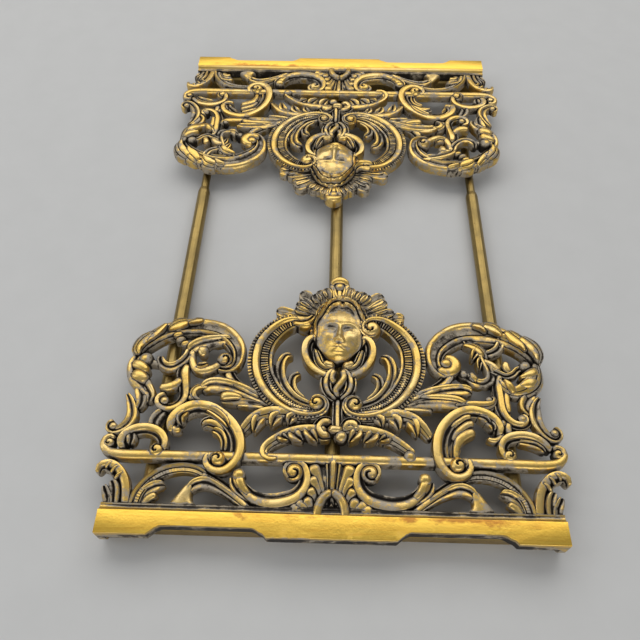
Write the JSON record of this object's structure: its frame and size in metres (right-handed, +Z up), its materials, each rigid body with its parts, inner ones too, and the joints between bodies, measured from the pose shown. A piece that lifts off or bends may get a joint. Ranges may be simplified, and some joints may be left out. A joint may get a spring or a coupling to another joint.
{
  "type": "folding book stand",
  "caption": "Extending brass book or bible stand: two pierced cast end panels with masks, hinged flat over telescopic rails between two base bars.",
  "frame": {"origin": "centre of the footprint on the table, panels folded flat inwards and the rails as drawn out in the rest pose", "axes": "+X along the length of the face rails to the right, +Y from the front panel to the rear panel along the telescopic rails, +Z up"},
  "size_m": [0.1692, 0.2688, 0.0162],
  "materials": {
    "cast_brass": "antique cast brass, rubbed bright on the high parts, dark in the recesses",
    "bar_brass": "satin brass bar with light tarnish",
    "rail_brass": "drawn brass tube and rod, olive tarnish",
    "screw_steel": "dull slotted screws"
  },
  "bodies": {
    "front_base": {"front_bar": "bar_brass", "front_pin_left": "rail_brass", "front_pin_right": "rail_brass", "tube_left": "rail_brass", "tube_middle": "rail_brass", "tube_right": "rail_brass", "plug_left": "rail_brass", "plug_middle": "rail_brass", "plug_right": "rail_brass", "front_screw_left": "screw_steel", "front_screw_middle": "screw_steel", "front_screw_right": "screw_steel"},
    "rear_base": {"rear_bar": "bar_brass", "rear_pin_left": "rail_brass", "rear_pin_right": "rail_brass", "rod_left": "rail_brass", "rod_middle": "rail_brass", "rod_right": "rail_brass", "rear_screw_left": "screw_steel", "rear_screw_middle": "screw_steel", "rear_screw_right": "screw_steel"},
    "front_end": {"front_panel": "cast_brass"},
    "rear_end": {"rear_panel": "cast_brass"}
  },
  "joints": [
    {"name": "rails", "type": "slide", "parent": "front_base", "child": "rear_base", "axis": [0, 1, 0], "range_m": [-0.032, 0.112]},
    {"name": "front_hinge", "type": "hinge", "parent": "front_base", "child": "front_end", "pos_m": [0, -0.1294, 0.005], "axis": [1, 0, 0], "range_deg": [0, 90]},
    {"name": "rear_hinge", "type": "hinge", "parent": "rear_base", "child": "rear_end", "pos_m": [0, 0.1294, 0.005], "axis": [-1, 0, 0], "range_deg": [0, 90]}
  ]
}
